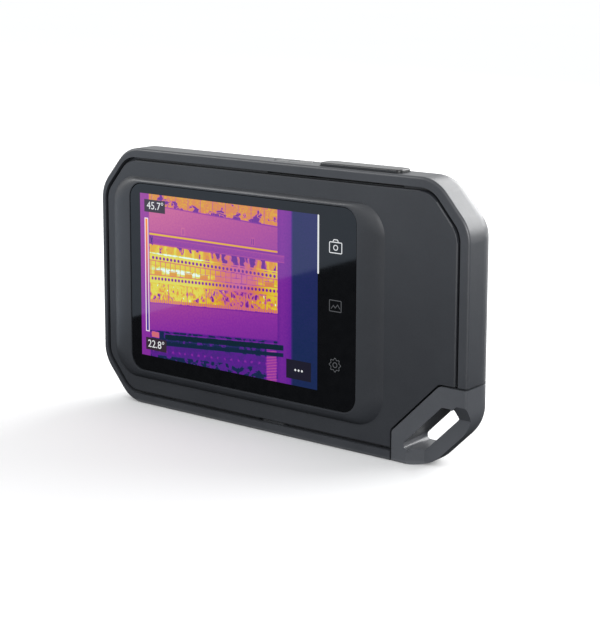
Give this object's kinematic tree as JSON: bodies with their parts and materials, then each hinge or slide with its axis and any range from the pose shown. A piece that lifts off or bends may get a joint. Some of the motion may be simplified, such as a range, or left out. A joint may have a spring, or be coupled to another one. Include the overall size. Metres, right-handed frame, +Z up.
{
  "type": "pocket thermal imaging camera",
  "caption": "Flat pocket thermal camera: dark bumper, raised screen, top keys, slanted lanyard slot in a corner piece, lens block, hinged port cover and tripod socket.",
  "frame": {"origin": "centre of the bounding box's bottom, on the surface the camera stands on", "axes": "+X right as the screen is read, +Y from the screen to the lenses, +Z up"},
  "size_m": [0.138, 0.024, 0.084],
  "materials": {
    "bumper": "fine-grained dark grey, slightly soft",
    "covers": "fine-grained dark grey",
    "anchor": "fine-grained dark grey",
    "keys": "smooth satin black",
    "glass_black": "polished, black printed border",
    "clear_window": "polished",
    "germanium": "coated infrared lens",
    "black_metal": "black anodised",
    "black_alloy": "black anodised",
    "board": "solder mask",
    "chip": "epoxy",
    "shield": "tinned",
    "steel": "plain",
    "brass": "turned",
    "magnesium": "cast",
    "panel": "display glass",
    "white_plastic": "white",
    "battery_wrap": "foil pouch",
    "foam": "foam",
    "seal": "silicone",
    "amber_film": "polyimide",
    "reflector": "polished",
    "light": "frosted"
  },
  "bodies": {
    "camera": {"bumper_frame": "bumper", "rear_cover": "covers", "front_cover": "covers", "front_gasket": "seal", "lanyard_anchor": "anchor", "touch_glass": "glass_black", "glass_adhesive": "foam", "display_panel": "panel", "display_backlight": "white_plastic", "display_flex": "amber_film", "display_flex_socket": "chip", "mid_frame": "magnesium", "board_standoffs": "brass", "board_screws": "steel", "main_board": "board", "processor_shield": "shield", "board_chips": "chip", "radio_module": "shield", "antenna": "amber_film", "battery_pack": "battery_wrap", "battery_pad": "foam", "battery_lead": "amber_film", "battery_socket": "white_plastic", "key_board": "board", "save_switch": "black_metal", "power_switch": "black_metal", "core_housing": "black_alloy", "thermal_sensor": "steel", "shutter_pin": "steel", "lens_barrel": "black_alloy", "thermal_lens": "germanium", "inner_lens": "germanium", "lens_ring": "black_alloy", "eye_module": "chip", "eye_window": "clear_window", "torch_led": "white_plastic", "torch_reflector": "reflector", "torch_window": "clear_window", "lens_panel": "covers", "charging_port": "steel", "port_hinge_pin": "steel", "tripod_insert": "brass", "cover_screws": "steel", "anchor_screws": "steel"},
    "save_key": {"save_button": "keys"},
    "save_switch_plunger": {"save_plunger": "white_plastic"},
    "power_key": {"power_button": "keys", "power_light": "light"},
    "power_switch_plunger": {"power_plunger": "white_plastic"},
    "calibration_flag": {"shutter_flag": "black_metal"},
    "port_flap": {"port_cover": "seal"}
  },
  "joints": [
    {"name": "save_key_press", "type": "slide", "parent": "camera", "child": "save_key", "axis": [0, 0, -1], "range_m": [0, 0.0005], "stiffness_N_per_m": 2000},
    {"name": "save_plunger_travel", "type": "slide", "parent": "camera", "child": "save_switch_plunger", "axis": [0, 0, -1], "range_m": [0, 0.0005]},
    {"name": "power_key_press", "type": "slide", "parent": "camera", "child": "power_key", "axis": [0, 0, -1], "range_m": [0, 0.0004], "stiffness_N_per_m": 2000},
    {"name": "power_plunger_travel", "type": "slide", "parent": "camera", "child": "power_switch_plunger", "axis": [0, 0, -1], "range_m": [0, 0.0004]},
    {"name": "calibration_flag_swing", "type": "hinge", "parent": "camera", "child": "calibration_flag", "pos_m": [0.0015, 0.0027, 0.0615], "axis": [0, 1, 0], "range_deg": [0, 55]},
    {"name": "port_cover_swing", "type": "hinge", "parent": "camera", "child": "port_flap", "pos_m": [-0.0682, -0.0039, 0.0502], "axis": [0, 1, 0], "range_deg": [0, 100]}
  ],
  "couplings": [
    {"joint": "save_plunger_travel", "follows": "save_key_press", "ratio": 1},
    {"joint": "power_plunger_travel", "follows": "power_key_press", "ratio": 1}
  ]
}
